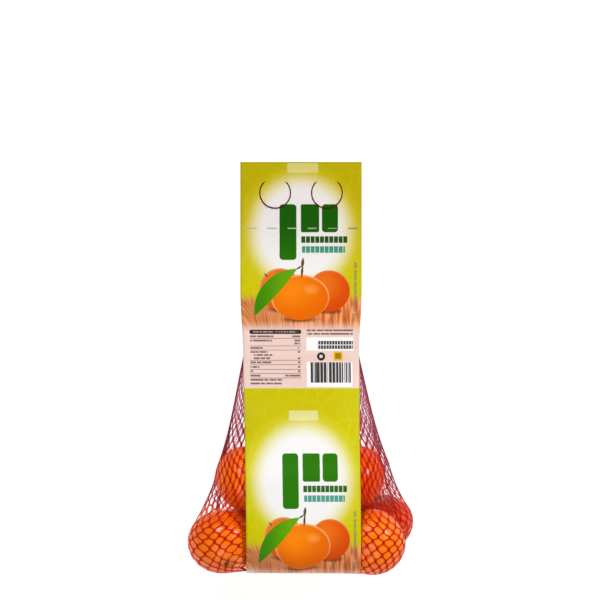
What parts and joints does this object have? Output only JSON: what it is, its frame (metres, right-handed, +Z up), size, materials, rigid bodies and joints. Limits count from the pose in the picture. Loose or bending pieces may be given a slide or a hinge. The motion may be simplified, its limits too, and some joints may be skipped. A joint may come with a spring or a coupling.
{
  "type": "net bag of mandarins",
  "caption": "Tubular net bag of mandarins with a printed film band on each side and a flat film header with finger holes, lying on its back.",
  "frame": {"origin": "under the middle of the bag's bounding box, on the surface it lies on", "axes": "+Z up, from the back band to the front band; +Y from the fruit to the header's free edge; +X to the right as the front is read with the header at the top"},
  "size_m": [0.1985, 0.3634, 0.1101],
  "materials": {
    "net": "satin, knitted plastic strands",
    "film_front": "semi-gloss printed film",
    "film_back": "semi-gloss printed film"
  },
  "bodies": {
    "root": {"net_with_mandarins": "net", "film_front": "film_front", "film_back": "film_back"}
  },
  "joints": []
}
